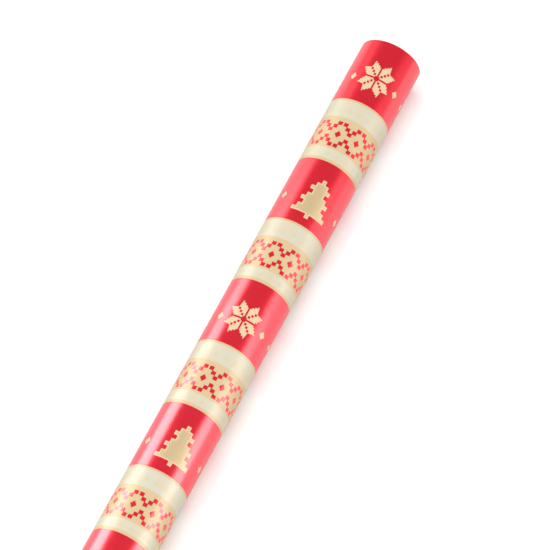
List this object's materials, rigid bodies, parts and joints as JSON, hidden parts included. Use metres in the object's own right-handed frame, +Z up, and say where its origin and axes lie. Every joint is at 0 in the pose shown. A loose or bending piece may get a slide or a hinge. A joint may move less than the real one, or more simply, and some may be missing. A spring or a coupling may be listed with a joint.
{
  "type": "wrapping paper roll",
  "caption": "Roll of metallised wrapping paper with a knit-style festive print, wound on a paperboard core, with a tail that lifts and straightens.",
  "frame": {"origin": "on the core's axis at the middle of the roll's length", "axes": "+X along the roll, +Z up, the tail's free edge on the +Y side"},
  "size_m": [0.7, 0.0399, 0.04],
  "materials": {
    "core_liner": "matt",
    "core_board": "matt",
    "core_face": "matt",
    "adhesive": "matt",
    "paper_edge": "matt",
    "printed_paper": "metallised gloss",
    "clear_tape": "gloss"
  },
  "bodies": {
    "roll": {"core_inner_ply": "core_liner", "core_middle_ply": "core_board", "core_outer_ply": "core_face", "start_strip": "adhesive", "wound_sheet": "paper_edge", "outer_turn": "printed_paper"},
    "leaf_1": {"tail_leaf_1": "printed_paper"},
    "leaf_2": {"tail_leaf_2": "printed_paper"},
    "leaf_3": {"tail_leaf_3": "printed_paper"},
    "leaf_4": {"tail_leaf_4": "printed_paper"},
    "leaf_5": {"tail_leaf_5": "printed_paper", "closing_tab_left": "clear_tape", "closing_tab_right": "clear_tape"}
  },
  "joints": [
    {"name": "tail_fold_1", "type": "hinge", "parent": "roll", "child": "leaf_1", "pos_m": [0, 0.01532, 0.01286], "axis": [1, 0, 0], "range_deg": [0, 16]},
    {"name": "tail_fold_2", "type": "hinge", "parent": "leaf_1", "child": "leaf_2", "pos_m": [0, 0.01827, 0.00813], "axis": [1, 0, 0], "range_deg": [0, 16]},
    {"name": "tail_fold_3", "type": "hinge", "parent": "leaf_2", "child": "leaf_3", "pos_m": [0, 0.01981, 0.00278], "axis": [1, 0, 0], "range_deg": [0, 16]},
    {"name": "tail_fold_4", "type": "hinge", "parent": "leaf_3", "child": "leaf_4", "pos_m": [0, 0.01981, -0.00278], "axis": [1, 0, 0], "range_deg": [0, 16]},
    {"name": "tail_fold_5", "type": "hinge", "parent": "leaf_4", "child": "leaf_5", "pos_m": [0, 0.01827, -0.00813], "axis": [1, 0, 0], "range_deg": [0, 16]}
  ],
  "couplings": [
    {"joint": "tail_fold_2", "follows": "tail_fold_1", "ratio": 1},
    {"joint": "tail_fold_3", "follows": "tail_fold_1", "ratio": 1},
    {"joint": "tail_fold_4", "follows": "tail_fold_1", "ratio": 1},
    {"joint": "tail_fold_5", "follows": "tail_fold_1", "ratio": 1}
  ]
}
